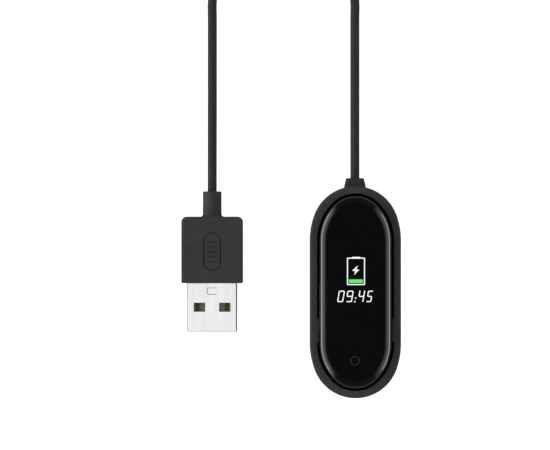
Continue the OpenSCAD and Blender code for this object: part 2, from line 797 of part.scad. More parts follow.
module plug_overmould() {
    hole = seat_gap;
    color(matt_black) in_plug() difference() {
        union() {
            loft([for (l = concat(
                    lower_edge(0, 0, plug_edge_r, plug_edge_r),
                    upper_edge(plug_t, 0, plug_edge_r, plug_edge_r)))
                at_height(plate_points(plug_w + 2 * l[1], plug_front - l[1], plug_back + l[1],
                    plug_corner_front, plug_corner_back), l[0])]);
            along_y(plug_back - plug_edge_r, plug_back + neck_l)
                translate([0, plug_mid]) circle(d = neck_d);
        }
        along_y(plug_front - eps, shell_back + hole) translate([0, plug_mid])
            rounded_square(plug_shell_w + 2 * hole, plug_shell_h + 2 * hole, shell_corner);
        box([inner_mould.x + 2 * hole, inner_mould.y + 2 * hole, inner_mould.z + 2 * hole],
            [0, shell_back + inner_mould.y / 2, plug_mid - inner_mould.z / 2 - hole]);
        box(wire_room, [0, wire_room_y + wire_room.y / 2, plug_mid - wire_room.z / 2]);
        along_y(wire_room_y, plug_back + neck_l + eps)
            translate([0, plug_mid]) circle(d = core_bore);
        grip_mark();
    }
}

// A plain outline with bars across it, cut shallow into the plug's upper face.
module grip_mark() {
    translate([0, mark_y, plug_t - mark_depth]) linear_extrude(mark_depth + eps) {
        difference() {
            stadium(mark_size.x, mark_size.y);
            stadium(mark_size.x - 2 * mark_line, mark_size.y - 2 * mark_line);
        }
        for (i = [0 : mark_bars - 1])
            translate([0, (i - (mark_bars - 1) / 2) * mark_bar_pitch])
                square([mark_bar_w, mark_line], center = true);
    }
}

module plug_shell() {
    inner = [plug_shell_w - 2 * shell_sheet, plug_shell_h - 2 * shell_sheet];
    top = plug_mid + plug_shell_h / 2;
    color(steel) in_plug() difference() {
        along_y(plug_tip, shell_back) translate([0, plug_mid]) difference() {
            rounded_square(plug_shell_w, plug_shell_h, shell_corner);
            rounded_square(inner.x, inner.y, shell_corner - shell_sheet);
        }
        for (x = [-latch_window_x, latch_window_x])
            box([latch_window.x, latch_window.y, plug_t], [x, latch_window_y, 0]);
        box([seam, shell_back - plug_tip + 2 * eps, plug_mid],
            [0, (shell_back + plug_tip) / 2, 0]);
        translate([0, lance_y, top - 2 * shell_sheet]) linear_extrude(3 * shell_sheet) {
            translate([(lance_slot - lance.x) / 2, 0])
                square([lance_slot, lance.y], center = true);
            for (side = [-1, 1]) translate([0, side * (lance.y - lance_slot) / 2])
                square([lance.x, lance_slot], center = true);
        }
    }
}

// Block at the back of the shell, with a tongue that carries the contacts in grooves.
module plug_insulator() {
    w = plug_shell_w - 2 * shell_sheet - 2 * seat_gap;
    h = plug_shell_h - 2 * shell_sheet - 2 * seat_gap;
    block_y = shell_back - insulator_block;
    tongue_y = plug_tip + tongue_back;
    color(dark_plastic) in_plug() difference() {
        union() {
            along_y(block_y, shell_back) translate([0, plug_mid])
                rounded_square(w, h, shell_corner - shell_sheet);
            box([w - 2 * shell_corner, block_y - tongue_y + eps, tongue_t],
                [0, (block_y + tongue_y) / 2, tongue_z]);
        }
        for (i = [0 : len(contact_x) - 1])
            box([contact_w + 2 * seat_gap, shell_back - tongue_y, contact_t + 2 * seat_gap],
                [contact_x[i], (shell_back + tongue_y) / 2 + contact_back[i] - seat_gap,
                    contact_z - seat_gap]);
    }
}

module plug_contacts() {
    color(gold) in_plug() for (i = [0 : len(contact_x) - 1]) {
        start = plug_tip + tongue_back + contact_back[i];
        box([contact_w, contact_end - start, contact_t],
            [contact_x[i], (start + contact_end) / 2, contact_z]);
    }
}

module plug_inner_mould() {
    core_z = contact_z + contact_t / 2;
    color(white_plastic) in_plug() difference() {
        box([inner_mould.x, inner_mould.y - 2 * seat_gap, inner_mould.z],
            [0, shell_back + inner_mould.y / 2, plug_mid - inner_mould.z / 2]);
        for (x = contact_x) {
            box([contact_w + 2 * seat_gap, contact_tail + 1, contact_t + 2 * seat_gap],
                [x, shell_back + contact_tail / 2 - 0.3, contact_z - seat_gap]);
            along_y(shell_back + contact_tail, wire_room_y + eps)
                translate([x, core_z]) circle(d = wire_d + 2 * fit);
        }
    }
}

// Four cores from the contacts' tails, drawn together and down the neck.
module plug_wires() {
    core_z = contact_z + contact_t / 2;
    neck_end = plug_back + neck_l;
    color(copper_flex) in_plug() for (i = [0 : len(contact_x) - 1]) {
        offset_x = core_pitch * (i % 2 - 0.5);
        offset_z = core_pitch * (floor(i / 2) - 0.5);
        near_x = contact_x[i];
        in_bore = [offset_x, 0, plug_mid + offset_z];
        loft(tube_rings([
            [near_x, contact_end + seat_gap, core_z], [near_x, wire_room_y - 0.3, core_z],
            [near_x, wire_room_y + 0.3, core_z],
            (in_bore + [near_x, 0, core_z]) / 2 + [0, wire_room_y + wire_room.y / 2, 0],
            in_bore + [0, wire_room_y + wire_room.y - 0.4, 0],
            in_bore + [0, wire_room_y + wire_room.y + 0.4, 0],
            in_bore + [0, neck_end - seat_gap, 0]
        ], wire_d / 2, cord_sides));
    }
}

// ======== Lead ========

module cord_cradle_run() {
    color(cord_black) loft(tube_rings(cradle_run, cord_r, cord_sides));
}

module cord_plug_run() {
    color(cord_black) loft(tube_rings(plug_run, cord_r, cord_sides));
}

module coil_section(grow) {
    low = coil_low - cord_r - grow;
    translate([coil_r - cord_r - grow, low])
        square([2 * (cord_r + grow), coil_top + cord_r + grow - low]);
}

module cord_coil() {
    color(cord_black) translate(coil_centre) rotate_extrude() coil_section(0);
}

module cord_tie() {
    color(satin_black) translate(coil_centre) rotate([0, 0, 90 - tie_angle / 2])
        rotate_extrude(angle = tie_angle) difference() {
            coil_section(tie_gap + tie_t);
            coil_section(tie_gap);
        }
}

cradle_shell();
cradle_cover();
strain_relief();
dock_board();
dock_components();
dock_wires();
pogo_barrels();
pogo_pin_left();
pogo_pin_right();
pogo_spring_left();
pogo_spring_right();
tracker_housing();
lens_gasket();
cover_lens();
display_panel();
display_flex();
touch_sensor();
inner_frame();
main_board();
board_chips();
antenna();
battery();
battery_board();
sensor_window();
sensor_board();
sensor_leds();
photodiode();
charging_contacts();
motor_plate();
motor_cap();
motor_shaft();
motor_rotor();
plug_overmould();
plug_shell();
plug_insulator();
plug_contacts();
plug_inner_mould();
plug_wires();
cord_cradle_run();
cord_coil();
cord_plug_run();
cord_tie();
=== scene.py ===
"""Fitness tracker in its charging cradle, with the cradle's lead and A-type plug."""
import json
import math

import bmesh
import bpy
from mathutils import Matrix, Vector


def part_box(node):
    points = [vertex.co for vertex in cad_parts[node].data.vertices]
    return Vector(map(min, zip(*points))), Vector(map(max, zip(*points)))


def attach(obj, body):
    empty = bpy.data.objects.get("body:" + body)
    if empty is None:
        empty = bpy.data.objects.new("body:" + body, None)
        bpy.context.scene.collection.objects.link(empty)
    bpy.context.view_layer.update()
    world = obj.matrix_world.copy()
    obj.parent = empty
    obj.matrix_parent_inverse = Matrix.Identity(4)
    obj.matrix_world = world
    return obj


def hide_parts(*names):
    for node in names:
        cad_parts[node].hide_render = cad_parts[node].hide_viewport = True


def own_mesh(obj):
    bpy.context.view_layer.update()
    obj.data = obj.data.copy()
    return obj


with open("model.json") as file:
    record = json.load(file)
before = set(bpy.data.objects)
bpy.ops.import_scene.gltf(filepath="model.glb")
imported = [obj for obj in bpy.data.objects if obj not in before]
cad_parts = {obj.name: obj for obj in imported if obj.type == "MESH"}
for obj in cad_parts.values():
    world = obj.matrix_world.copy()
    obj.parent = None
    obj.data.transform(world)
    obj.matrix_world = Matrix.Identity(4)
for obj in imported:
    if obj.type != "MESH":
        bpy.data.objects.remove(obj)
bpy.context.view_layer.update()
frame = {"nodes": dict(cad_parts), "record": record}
record = frame["record"]
cad_nodes = frame["nodes"]
MM = 0.001

# ---- Places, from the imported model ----
lens_low, lens_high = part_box("cover_lens")
house_low, house_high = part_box("tracker_housing")
shell_low, shell_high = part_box("cradle_shell")
relief_low, relief_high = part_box("strain_relief")
sensor_low, sensor_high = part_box("sensor_window")
barrels_low, barrels_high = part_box("pogo_barrels")
plug_low, plug_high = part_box("plug_overmould")
metal_low, metal_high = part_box("plug_shell")
mould_low, mould_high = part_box("plug_inner_mould")
HALF_W = lens_high.x                    # half the tracker's width
HALF_L = lens_high.y                    # half its length
TOP = lens_high.z
BACK = house_low.z                      # the tracker's flat back
RIM = shell_high.z
SHELL_GROW = shell_high.x - HALF_W      # cradle outline beyond the tracker's
PLUG_X = (plug_low.x + plug_high.x) / 2
PLUG_Z = (metal_low.z + metal_high.z) / 2

# ---- Camera: the photograph's view, straight down, almost without perspective ----
VIEW_WIDTH = 132 * MM
LENS = 400.0
SENSOR = 36.0
VIEW_SHIFT = (-3.82 * MM, -11.31 * MM)  # from the object's middle across, and from the lead boot's end
VIEW_Z = 10 * MM
view_centre = Vector(((plug_low.x + shell_high.x) / 2 + VIEW_SHIFT[0], relief_high.y + VIEW_SHIFT[1],
                      VIEW_Z))
camera_data = bpy.data.cameras.new("camera")
camera_data.lens = LENS
camera_data.sensor_width = SENSOR
camera_data.clip_start = 0.05
camera_data.clip_end = 20
camera = bpy.data.objects.new("camera", camera_data)
camera.location = view_centre + Vector((0, 0, VIEW_WIDTH * LENS / SENSOR))
bpy.context.scene.collection.objects.link(camera)
bpy.context.scene.camera = camera
bpy.context.scene.view_settings.view_transform = "Standard"


# ======== Materials ========

def node(tree, kind, **values):
    made = tree.nodes.new(kind)
    for key, value in values.items():
        if key in made.inputs:
            made.inputs[key].default_value = value
        else:
            setattr(made, key, value)
    return made


def noise(tree, where, scale, detail=2.0):
    made = node(tree, "ShaderNodeTexNoise", Scale=scale, Detail=detail)
    tree.links.new(where, made.inputs["Vector"])
    return made.outputs["Fac"]


def spread(tree, value, low, high, start=0.25, end=0.75):
    made = node(tree, "ShaderNodeMapRange")
    made.inputs["From Min"].default_value = start
    made.inputs["From Max"].default_value = end
    made.inputs["To Min"].default_value = low
    made.inputs["To Max"].default_value = high
    tree.links.new(value, made.inputs["Value"])
    return made.outputs["Result"]


def tint(colour, factor):
    return tuple(min(1.0, c * factor) for c in colour) + (1.0,)


def finish(name, colour, rough, metallic=0.0, specular=0.5, mottle=0.1, mottle_scale=260.0,
           rough_spread=0.06, grain=0.0, grain_scale=9000.0, stretch=(1, 1, 1), glow=None):
    """A moulded, plated or printed surface: colour that drifts, roughness that varies, and a
    fine grain of grain metres deep, which stretch draws out."""
    made = bpy.data.materials.new(name)
    made.use_nodes = True
    tree = made.node_tree
    tree.nodes.clear()
    output = node(tree, "ShaderNodeOutputMaterial")
    shader = node(tree, "ShaderNodeBsdfPrincipled", Metallic=metallic)
    shader.inputs["Specular IOR Level"].default_value = specular
    tree.links.new(shader.outputs["BSDF"], output.inputs["Surface"])
    place = node(tree, "ShaderNodeTexCoord").outputs["Object"]
    if stretch != (1, 1, 1):
        mapping = node(tree, "ShaderNodeMapping")
        mapping.inputs["Scale"].default_value = stretch
        tree.links.new(place, mapping.inputs["Vector"])
        place = mapping.outputs["Vector"]
    drift = noise(tree, place, mottle_scale, 3.0)
    mix = node(tree, "ShaderNodeMix", data_type="RGBA")
    tree.links.new(spread(tree, drift, 0, 1), mix.inputs["Factor"])
    mix.inputs["A"].default_value = tint(colour, 1 - mottle)
    mix.inputs["B"].default_value = tint(colour, 1 + mottle)
    tree.links.new(mix.outputs["Result"], shader.inputs["Base Color"])
    smear = noise(tree, place, mottle_scale * 2.7, 4.0)
    tree.links.new(spread(tree, smear, rough - rough_spread, rough + rough_spread),
                   shader.inputs["Roughness"])
    if grain:
        fine = noise(tree, place, grain_scale, 1.0)
        bump = node(tree, "ShaderNodeBump", Strength=1.0, Distance=grain)
        tree.links.new(fine, bump.inputs["Height"])
        tree.links.new(bump.outputs["Normal"], shader.inputs["Normal"])
    if glow:
        shader.inputs["Emission Color"].default_value = tuple(glow) + (1.0,)
        shader.inputs["Emission Strength"].default_value = 1.0
    return made


FINISHES = {
    "matt_black_plastic": finish("matt_black_plastic", (0.054, 0.054, 0.0545), 0.55, specular=0.1,
                                 grain=6e-6),
    "satin_black_plastic": finish("satin_black_plastic", (0.012, 0.012, 0.0125), 0.36,
                                  specular=0.35, grain=2.5e-6),
    "black_elastomer": finish("black_elastomer", (0.045, 0.045, 0.046), 0.5, specular=0.08,
                              grain=4e-6, grain_scale=6000),
    "cord_jacket": finish("cord_jacket", (0.040, 0.040, 0.041), 0.45, specular=0.05,
                          grain=2.5e-6, grain_scale=5000),
    "cord_tie_plastic": finish("cord_tie_plastic", (0.014, 0.014, 0.014), 0.6, specular=0.3,
                               grain=1.5e-5, grain_scale=4200),
    "lens_glass": finish("lens_glass", (0.0020, 0.0024, 0.0030), 0.035, rough_spread=0.012,
                         mottle_scale=120, mottle=0.08),
    "sensor_lens": finish("sensor_lens", (0.004, 0.005, 0.005), 0.06, rough_spread=0.02),
    "adhesive": finish("adhesive", (0.01, 0.01, 0.01), 0.8, grain=1e-5),
    "display": finish("display", (0.006, 0.006, 0.007), 0.2),
    "flex_circuit": finish("flex_circuit", (0.45, 0.2, 0.05), 0.3, mottle=0.15,
                           mottle_scale=900),
    "circuit_board": finish("circuit_board", (0.01, 0.09, 0.035), 0.3, mottle=0.3,
                            mottle_scale=1500, grain=1e-5, grain_scale=2500),
    "chip_black": finish("chip_black", (0.015, 0.015, 0.017), 0.6, grain=6e-6),
    "ceramic_white": finish("ceramic_white", (0.75, 0.75, 0.72), 0.55, grain=4e-6),
    "green_led": finish("green_led", (0.3, 0.75, 0.35), 0.15),
    "battery_foil": finish("battery_foil", (0.62, 0.63, 0.65), 0.4, metallic=1.0,
                           grain=2e-5, grain_scale=1500),
    "gold_plate": finish("gold_plate", (0.83, 0.6, 0.22), 0.22, metallic=1.0, grain=1.5e-6),
    "spring_steel": finish("spring_steel", (0.6, 0.6, 0.62), 0.3, metallic=1.0),
    "motor_steel": finish("motor_steel", (0.62, 0.62, 0.64), 0.35, metallic=1.0, grain=3e-6,
                          stretch=(1, 12, 1), grain_scale=2500),
    "tungsten_alloy": finish("tungsten_alloy", (0.3, 0.3, 0.31), 0.5, metallic=1.0, grain=8e-6,
                             grain_scale=5000),
    "plug_steel": finish("plug_steel", (0.90, 0.90, 0.905), 0.24, metallic=1.0, mottle=0.02,
                         grain=8e-7, stretch=(1, 0.08, 1), grain_scale=7000),
    "black_insulator": finish("black_insulator", (0.32, 0.32, 0.325), 0.45, grain=3e-6),
    "white_insulator": finish("white_insulator", (0.8, 0.8, 0.77), 0.45, grain=3e-6),
    "core_insulation": finish("core_insulation", (0.5, 0.05, 0.04), 0.4),
    "lit_white": finish("lit_white", (0.01, 0.01, 0.01), 0.25, glow=(1.0, 1.02, 1.03)),
    "lit_green": finish("lit_green", (0.01, 0.01, 0.01), 0.25, glow=(0.117, 0.871, 0.162)),
    "lit_dim": finish("lit_dim", (0.004, 0.004, 0.005), 0.12, glow=(0.024, 0.027, 0.030)),
}


def paint(piece, name):
    piece.data.materials.clear()
    piece.data.materials.append(FINISHES[name])


# ======== Mesh code ========

def build(name, vertices, faces, body, slot, replaced=(), look=None, crease=35):
    """A mesh piece that rides on a body, smooth but for edges sharper than crease degrees."""
    mesh = bpy.data.meshes.new(name)
    mesh.from_pydata([tuple(v) for v in vertices], [], faces)
    edit = bmesh.new()
    edit.from_mesh(mesh)
    bmesh.ops.recalc_face_normals(edit, faces=edit.faces)
    edit.to_mesh(mesh)
    edit.free()
    piece = bpy.data.objects.new(name, mesh)
    bpy.context.scene.collection.objects.link(piece)
    smooth(piece, crease)
    if body:
        paint(piece, look or slot)
        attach(piece, body)
    if replaced:
        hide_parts(*replaced)
    return piece


def smooth(piece, crease=35):
    piece.data.shade_smooth()
    piece.data.set_sharp_from_angle(angle=math.radians(crease))


def loft(rings, closed=False, caps=True):
    """Vertices and faces of a skin through rings that have the same number of points."""
    count = len(rings[0])
    vertices = [p for ring in rings for p in ring]
    faces = []
    spans = len(rings) if closed else len(rings) - 1
    for k in range(spans):
        a, b = k * count, ((k + 1) % len(rings)) * count
        for i in range(count):
            j = (i + 1) % count
            faces.append((a + i, a + j, b + j, b + i))
    if caps and not closed:
        faces.append(tuple(range(count)))
        faces.append(tuple(range((len(rings) - 1) * count, len(rings) * count)))
    return vertices, faces


def cut(piece, tools, how="DIFFERENCE", crease=35):
    """Cuts the tools out of a piece, or joins them to it, and leaves one plain mesh."""
    for tool in tools:
        modifier = piece.modifiers.new("cut", "BOOLEAN")
        modifier.operation = how
        modifier.solver = "EXACT"
        modifier.object = tool
    bpy.context.view_layer.update()
    shown = piece.evaluated_get(bpy.context.evaluated_depsgraph_get())
    result = bpy.data.meshes.new_from_object(shown)
    piece.modifiers.clear()
    old = piece.data
    piece.data = result
    bpy.data.meshes.remove(old)
    for tool in tools:
        mesh = tool.data
        bpy.data.objects.remove(tool)
        bpy.data.meshes.remove(mesh)
    smooth(piece, crease)
    return piece


SQUARE = 0.99999                        # least part of a normal that counts as square to an axis


def true_flats(piece):
    """Shades faces that lie square to an axis flat, and keeps the rounded edges smooth."""
    for face in piece.data.polygons:
        if max(abs(part) for part in face.normal) > SQUARE:
            face.use_smooth = False
    piece.modifiers.new("flats", "WEIGHTED_NORMAL").keep_sharp = True


def arc(start, end, steps):
    return [math.radians(start + (end - start) * i / steps) for i in range(steps + 1)]


def circle(x, y, z, r, count=48):
    return [(x + r * math.cos(a), y + r * math.sin(a), z) for a in arc(0, 360, count)[:-1]]


def cutter(rings, closed=False):
    """A piece that cuts or joins another and isn't kept."""
    return build("tool", *loft(rings, closed), None, None)


def post(x, y, z0, z1, r, count=48):
    """A round cutting tool, standing."""
    return cutter([circle(x, y, z0, r, count), circle(x, y, z1, r, count)])


def rounded(w, h, r, steps=6):
    """Points round a rectangle with rounded corners, centred on zero."""
    points = []
    for cx, cy, turn in ((1, 1, 0), (-1, 1, 90), (-1, -1, 180), (1, -1, 270)):
        points += [(cx * (w / 2 - r) + r * math.cos(a), cy * (h / 2 - r) + r * math.sin(a))
                   for a in arc(turn, turn + 90, steps)]
    return points


def standing(points, y, z, x=0.0):
    """A flat outline set upright at y."""
    return [(x - p[0], y, z + p[1]) for p in points]


def bar(x, z, points, y0, y1):
    """A cutting tool with an outline in x and height, from y0 to y1."""
    return cutter([standing(points, y0, z, x), standing(points, y1, z, x)])


CORNERS = ((1, 1), (-1, 1), (-1, -1), (1, -1))


def block(x0, x1, y0, y1, z0, z1, r=0.0):
    """A standing cutting tool with a rectangular outline."""
    outline = rounded(x1 - x0, y1 - y0, r) if r else [
        ((x1 - x0) / 2 * sx, (y1 - y0) / 2 * sy) for sx, sy in CORNERS]
    cx, cy = (x0 + x1) / 2, (y0 + y1) / 2
    return cutter([[(cx + p[0], cy + p[1], z) for p in outline] for z in (z0, z1)])


# ---- The oval that the tracker and the cradle share ----
END_STRETCH = 2.1 * MM
TIP_TIGHTEN = 1.5 * MM
SHELL_TIP_TIGHTEN = 0.45 * MM
STRAIGHT = HALF_L - HALF_W - END_STRETCH
NUB_Y = -9.15 * MM
NUB_HALF = 3.05 * MM
NUB_EDGE = 0.35 * MM
NUB_INWARD = 0.4 * MM
ROWS = sorted(
    [STRAIGHT * (2 * i / 24 - 1) for i in range(25)]
    + [NUB_Y + side * (NUB_HALF - NUB_EDGE * i / 3) for side in (-1, 1) for i in range(4)]
)


def four_fold(right, corner):
    """A ring from its straight right side and the corner that follows, by symmetry."""
    far = right + corner + [(-x, y) for x, y in reversed(corner[:-1])]
    left = [(-right[0][0], y) for _, y in reversed(right)]
    near = [(-x, -y) for x, y in corner] + [(x, -y) for x, y in reversed(corner[:-1])]
    return far + left + near


def oval(z, grow, nub=0.0, tighten=TIP_TIGHTEN):
    """The oval, grown outwards, at a height. nub pushes its straight sides in at the nubs."""
    h = HALF_W + grow
    side_x = END_STRETCH + END_STRETCH ** 2 / (2 * tighten)
    tip_y = END_STRETCH + tighten
    meet = math.degrees(math.atan2(tip_y, side_x))
    right = [(h, y) for y in ROWS]
    corner = [((h + side_x) * math.cos(a) - side_x, (h + side_x) * math.sin(a) + STRAIGHT)
              for a in arc(0, meet, 14)[1:]]
    corner += [((h - tighten) * math.cos(a), (h - tighten) * math.sin(a) + STRAIGHT + tip_y)
               for a in arc(meet, 90, 14)[1:]]
    ring = []
    for x, y in four_fold(right, corner):
        reach = (NUB_HALF - abs(y - NUB_Y)) / NUB_EDGE
        push = nub * NUB_INWARD * max(0.0, min(1.0, reach)) ** 0.5
        ring.append((x - math.copysign(push, x), y, z))
    return ring


def slot_ring(z, grow, width, length, centre_y):
    """A stadium with as many points as the oval, in the same order."""
    r = width / 2 + grow
    straight = (length - width) / 2
    right = [(r, y * straight / STRAIGHT) for y in ROWS]
    corner = [(r * math.cos(a), r * math.sin(a) + straight) for a in arc(0, 90, 28)[1:]]
    return [(x, y + centre_y, z) for x, y in four_fold(right, corner)]


def round_ring(z, r, centre_y):
    """A circle with as many points as the oval, each in line with the oval's."""
    points = []
    for x, y, _ in oval(0, 0):
        away = math.hypot(x, y - centre_y)
        points.append((x * r / away, centre_y + (y - centre_y) * r / away, z))
    return points


# ======== Lead ========
# The route is the CAD's: out of the cradle, down to the table, round the tied coil from its
# highest turn to its lowest, and back to the plug.
CORD_D = 2.2 * MM
CORD_R = CORD_D / 2
CORD_FIT = 0.04 * MM                    # between the lead and the hole that it enters
COIL = (-17.2, 85.2)
COIL_R = 11.4
LAYERS = (6.2, 3.9, 1.6)
COIL_TURN = 900
CRADLE_RUN = [
    (0, 27.4, 2.7), (0, 30, 2.7), (0, 34, 2.4), (0, 38, 1.9), (0, 42, 1.4), (0, 46, 1.2),
    (0, 51, 1.2), (0, 56, 1.2), (0, 61, 1.2), (0, 66, 1.3), (0, 70, 1.8), (-0.6, 73, 2.7),
    (-2, 76, 3.8), (-3.7, 79, 5), (-5.1, 82, 5.9), (-5.8, 85.2, 6.2),
]
PLUG_RUN = [
    (-34.4, 24.2, 3.8), (-34.4, 27, 3.8), (-34.4, 31, 3.4), (-34.4, 35, 2.6), (-34.4, 39, 1.8),
    (-34.4, 43, 1.3), (-34.4, 47, 1.2), (-34.4, 52, 1.2), (-34.4, 57, 1.2), (-34.4, 62, 1.2),
    (-34.4, 66, 1.2), (-34.4, 70, 1.2), (-33.8, 73, 1.2), (-32.4, 76, 1.3), (-30.7, 79, 1.4),
    (-29.3, 82, 1.5), (-28.6, 85.2, 1.6),
]
DROPS = ((195, 255), (555, 615))        # where the coil goes down to its next layer


def coil_height(angle):
    height = LAYERS[0]
    for level, (start, end) in zip(LAYERS[1:], DROPS):
        t = max(0.0, min(1.0, (angle - start) / (end - start)))
        height += (level - height) * t * t * (3 - 2 * t)
    return height


def spline(points, steps=4):
    """A smooth line through points, with steps to each span."""
    p = [Vector(q) for q in points]
    p = [2 * p[0] - p[1]] + p + [2 * p[-1] - p[-2]]
    line = []
    for a, b, c, d in zip(p, p[1:], p[2:], p[3:]):
        for i in range(steps):
            t = i / steps
            line.append(0.5 * (2 * b + (c - a) * t + (2 * a - 5 * b + 4 * c - d) * t * t
                               + (3 * b - 3 * c + d - a) * t ** 3))
    return line + [p[-2]]


coil = [(COIL[0] + COIL_R * math.cos(math.radians(a)), COIL[1] + COIL_R * math.sin(math.radians(a)),
         coil_height(a)) for a in range(12, COIL_TURN, 12)]
route = [v * MM for v in spline(CRADLE_RUN + coil + PLUG_RUN[::-1])]
lead_curve = bpy.data.curves.new("lead", "CURVE")
lead_curve.dimensions = "3D"
lead_curve.bevel_depth = CORD_R
lead_curve.bevel_resolution = 6
lead_curve.use_fill_caps = True
lead_line = lead_curve.splines.new("POLY")
lead_line.points.add(len(route) - 1)
for point, place in zip(lead_line.points, route):
    point.co = (*place, 1)
lead_line.use_smooth = True
lead = bpy.data.objects.new("lead", lead_curve)
bpy.context.scene.collection.objects.link(lead)
paint(lead, "cord_jacket")
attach(lead, "cradle")
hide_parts("cord_cradle_run", "cord_coil", "cord_plug_run")


# ======== Cradle ========
CAVITY_GROW = 0.8 * MM
COVER_GROW = 1.4 * MM
COVER_T = 1.0 * MM
COVER_SOFT = 0.12 * MM                  # chamfer round the cover's seat
CAVITY_Z = 3.0 * MM
FLOOR_Z = 4.2 * MM
POCKET = 0.5 * MM
FOOT_R = 0.8 * MM
RIM_R = 0.45 * MM
NUB_H = 5.0 * MM
WINDOW = (10.4 * MM, 19.0 * MM, -3.0 * MM)      # width, length and centre
COLLAR = 0.9 * MM
FIT = 0.05 * MM


def cradle_rings():
    rings = [
        oval(COVER_T, CAVITY_GROW), oval(COVER_T, COVER_GROW),
        oval(COVER_SOFT, COVER_GROW), oval(0, COVER_GROW + COVER_SOFT),
    ]
    outer = [(FOOT_R * (1 - math.cos(a)), SHELL_GROW - FOOT_R * (1 - math.sin(a))) for a in arc(0, 90, 7)]
    outer += [(FOOT_R + (RIM - RIM_R - FOOT_R) * i / 4, SHELL_GROW) for i in range(1, 4)]
    outer += [(RIM - RIM_R * (1 - math.cos(a)), SHELL_GROW - RIM_R * (1 - math.sin(a)))
              for a in arc(90, 0, 6)]
    rings += [oval(z, grow, 0, SHELL_TIP_TIGHTEN) for z, grow in outer]
    lip = 0.15 * MM
    rings += [oval(RIM - lip * (1 - math.cos(a)), POCKET + lip * (1 - math.sin(a)), 1)
              for a in arc(0, 90, 4)]
    rings += [oval(RIM - NUB_H + NUB_EDGE, POCKET, 1), oval(RIM - NUB_H, POCKET, 0)]
    rings += [oval(FLOOR_Z + 0.5 * MM, POCKET)]
    root = 0.3 * MM
    rings += [oval(FLOOR_Z + root * (1 - math.cos(a)), POCKET - root * (1 - math.sin(a)))
              for a in arc(90, 0, 4)]
    edge = 0.2 * MM
    rings += [slot_ring(FLOOR_Z - edge * (1 - math.cos(a)), edge * (1 - math.sin(a)), *WINDOW)
              for a in arc(0, 90, 3)]
    rings += [
        slot_ring(COVER_T, 0, *WINDOW), slot_ring(COVER_T, COLLAR, *WINDOW),
        slot_ring(CAVITY_Z, COLLAR, *WINDOW), oval(CAVITY_Z, CAVITY_GROW),
    ]
    return rings


cradle = build("cradle_body", *loft(cradle_rings(), closed=True), "cradle", "matt_black_plastic",
               ["cradle_shell"])
BARREL_R = 1.0 * MM
POGO_X = 3.5 * MM
POGO_Y = (barrels_low.y + barrels_high.y) / 2
RELIEF_SUNK = 0.9 * MM
RELIEF_Z = 2.7 * MM
RELIEF_NECK_Z = 2.0 * MM
relief_base_y = shell_high.y - RELIEF_SUNK
cut(cradle, [
    post(side * POGO_X, POGO_Y, CAVITY_Z - MM, FLOOR_Z + MM, BARREL_R + FIT) for side in (-1, 1)
] + [
    bar(0, RELIEF_Z, rounded(5.3 * MM, 3.3 * MM, 0.72 * MM), relief_base_y, shell_high.y + MM),
    bar(0, RELIEF_NECK_Z, rounded(3.7 * MM, 1.7 * MM, 0.2 * MM), relief_low.y,
        relief_base_y + 0.1 * MM),
])


# ---- Strain relief: flange inside, neck through the wall, and a tapered boot ----
def relief_ring(y, z, w, h, r):
    return standing(rounded(w * MM, h * MM, r * MM), y, z)


boot_end = relief_high.y
relief_rings = [
    relief_ring(relief_low.y, RELIEF_NECK_Z, 5.4, 1.8, 0.2),
    relief_ring(relief_low.y + 1.2 * MM, RELIEF_NECK_Z, 5.4, 1.8, 0.2),
    relief_ring(relief_low.y + 1.21 * MM, RELIEF_NECK_Z, 3.6, 1.6, 0.2),
    relief_ring(relief_base_y, RELIEF_NECK_Z, 3.6, 1.6, 0.2),
    relief_ring(relief_base_y + 0.01 * MM, RELIEF_Z, 5.2, 3.2, 0.7),
    relief_ring(relief_base_y + 0.6 * MM, RELIEF_Z, 5.2, 3.2, 0.7),
    relief_ring(shell_high.y, RELIEF_Z, 5.2, 3.2, 0.7),
]
for i in range(1, 5):
    t = i / 5
    relief_rings.append(relief_ring(shell_high.y + (boot_end - shell_high.y) * t, RELIEF_Z,
                                    5.2 - 0.9 * t, 3.2 - 0.3 * t, 0.7))
for a in arc(20, 90, 4):
    round_end = 0.2 * (1 - math.cos(a))
    relief_rings.append(relief_ring(boot_end - 0.2 * MM * (1 - math.sin(a)), RELIEF_Z,
                                    4.34 - 2 * round_end, 2.92 - 2 * round_end, 0.7))
socket = (CORD_R + CORD_FIT) / MM * 2
for y in (boot_end, boot_end - 0.5 * MM):
    relief_rings.append(relief_ring(y, RELIEF_Z, socket, socket, socket / 2))
relief = build("lead_boot", *loft(relief_rings), "cradle", "black_elastomer", ["strain_relief"])

# ======== Tracker ========
WALL = 1.3 * MM
FLOOR = 1.1 * MM
BACK_ROUND = (2.6 * MM, 3.2 * MM)
GROOVE_Z = 5.1 * MM
GROOVE_H = 1.4 * MM
GROOVE_D = 0.45 * MM
GROOVE_SLOPE = 0.35 * MM
SENSOR_R = 4.2 * MM
SENSOR_Y = (sensor_low.y + sensor_high.y) / 2
FLANGE_R = SENSOR_R + 0.8 * MM
SEAT = 0.02 * MM
PAD_R = 1.2 * MM


